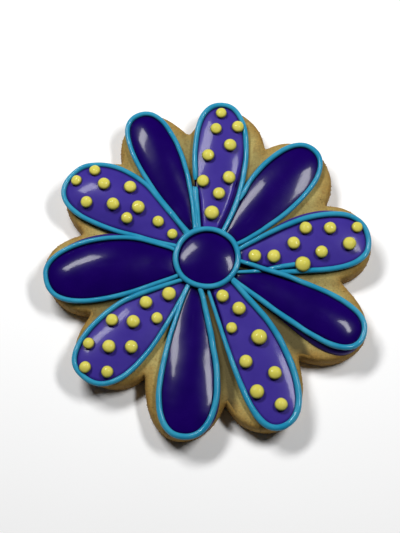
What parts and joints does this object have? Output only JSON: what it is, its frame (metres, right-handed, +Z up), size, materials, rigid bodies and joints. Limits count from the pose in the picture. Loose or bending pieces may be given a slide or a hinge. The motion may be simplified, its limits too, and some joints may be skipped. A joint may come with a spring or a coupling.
{
  "type": "iced flower cookie",
  "caption": "Flower-shaped baked cookie with domed icing petals, piped outlines, raised dots and a ringed round centre.",
  "frame": {"origin": "middle of the flower's round centre, on the flat underside of the cookie", "axes": "+Z up out of the iced side, +Y towards the upper dotted petal, +X to the right as the iced side is seen"},
  "size_m": [0.1006, 0.1076, 0.0122],
  "materials": {
    "biscuit": "dry baked dough, browner at the edge",
    "violet_icing": "smooth glossy icing",
    "purple_icing": "smooth glossy icing",
    "turquoise_icing": "satin piped icing",
    "yellow_icing": "smooth glossy icing"
  },
  "bodies": {
    "root": {"cookie_base": "biscuit", "centre_icing": "purple_icing", "centre_ring": "turquoise_icing", "petal_a_icing": "violet_icing", "petal_a_outline": "turquoise_icing", "petal_b_icing": "purple_icing", "petal_b_outline": "turquoise_icing", "petal_c_icing": "violet_icing", "petal_c_outline": "turquoise_icing", "petal_d_icing": "purple_icing", "petal_d_outline": "turquoise_icing", "petal_e_icing": "violet_icing", "petal_e_outline": "turquoise_icing", "petal_f_icing": "purple_icing", "petal_f_outline": "turquoise_icing", "petal_g_icing": "violet_icing", "petal_g_outline": "turquoise_icing", "petal_h_icing": "purple_icing", "petal_h_outline": "turquoise_icing", "petal_i_icing": "violet_icing", "petal_i_outline": "turquoise_icing", "petal_j_icing": "purple_icing", "petal_j_outline": "turquoise_icing"}
  },
  "joints": []
}
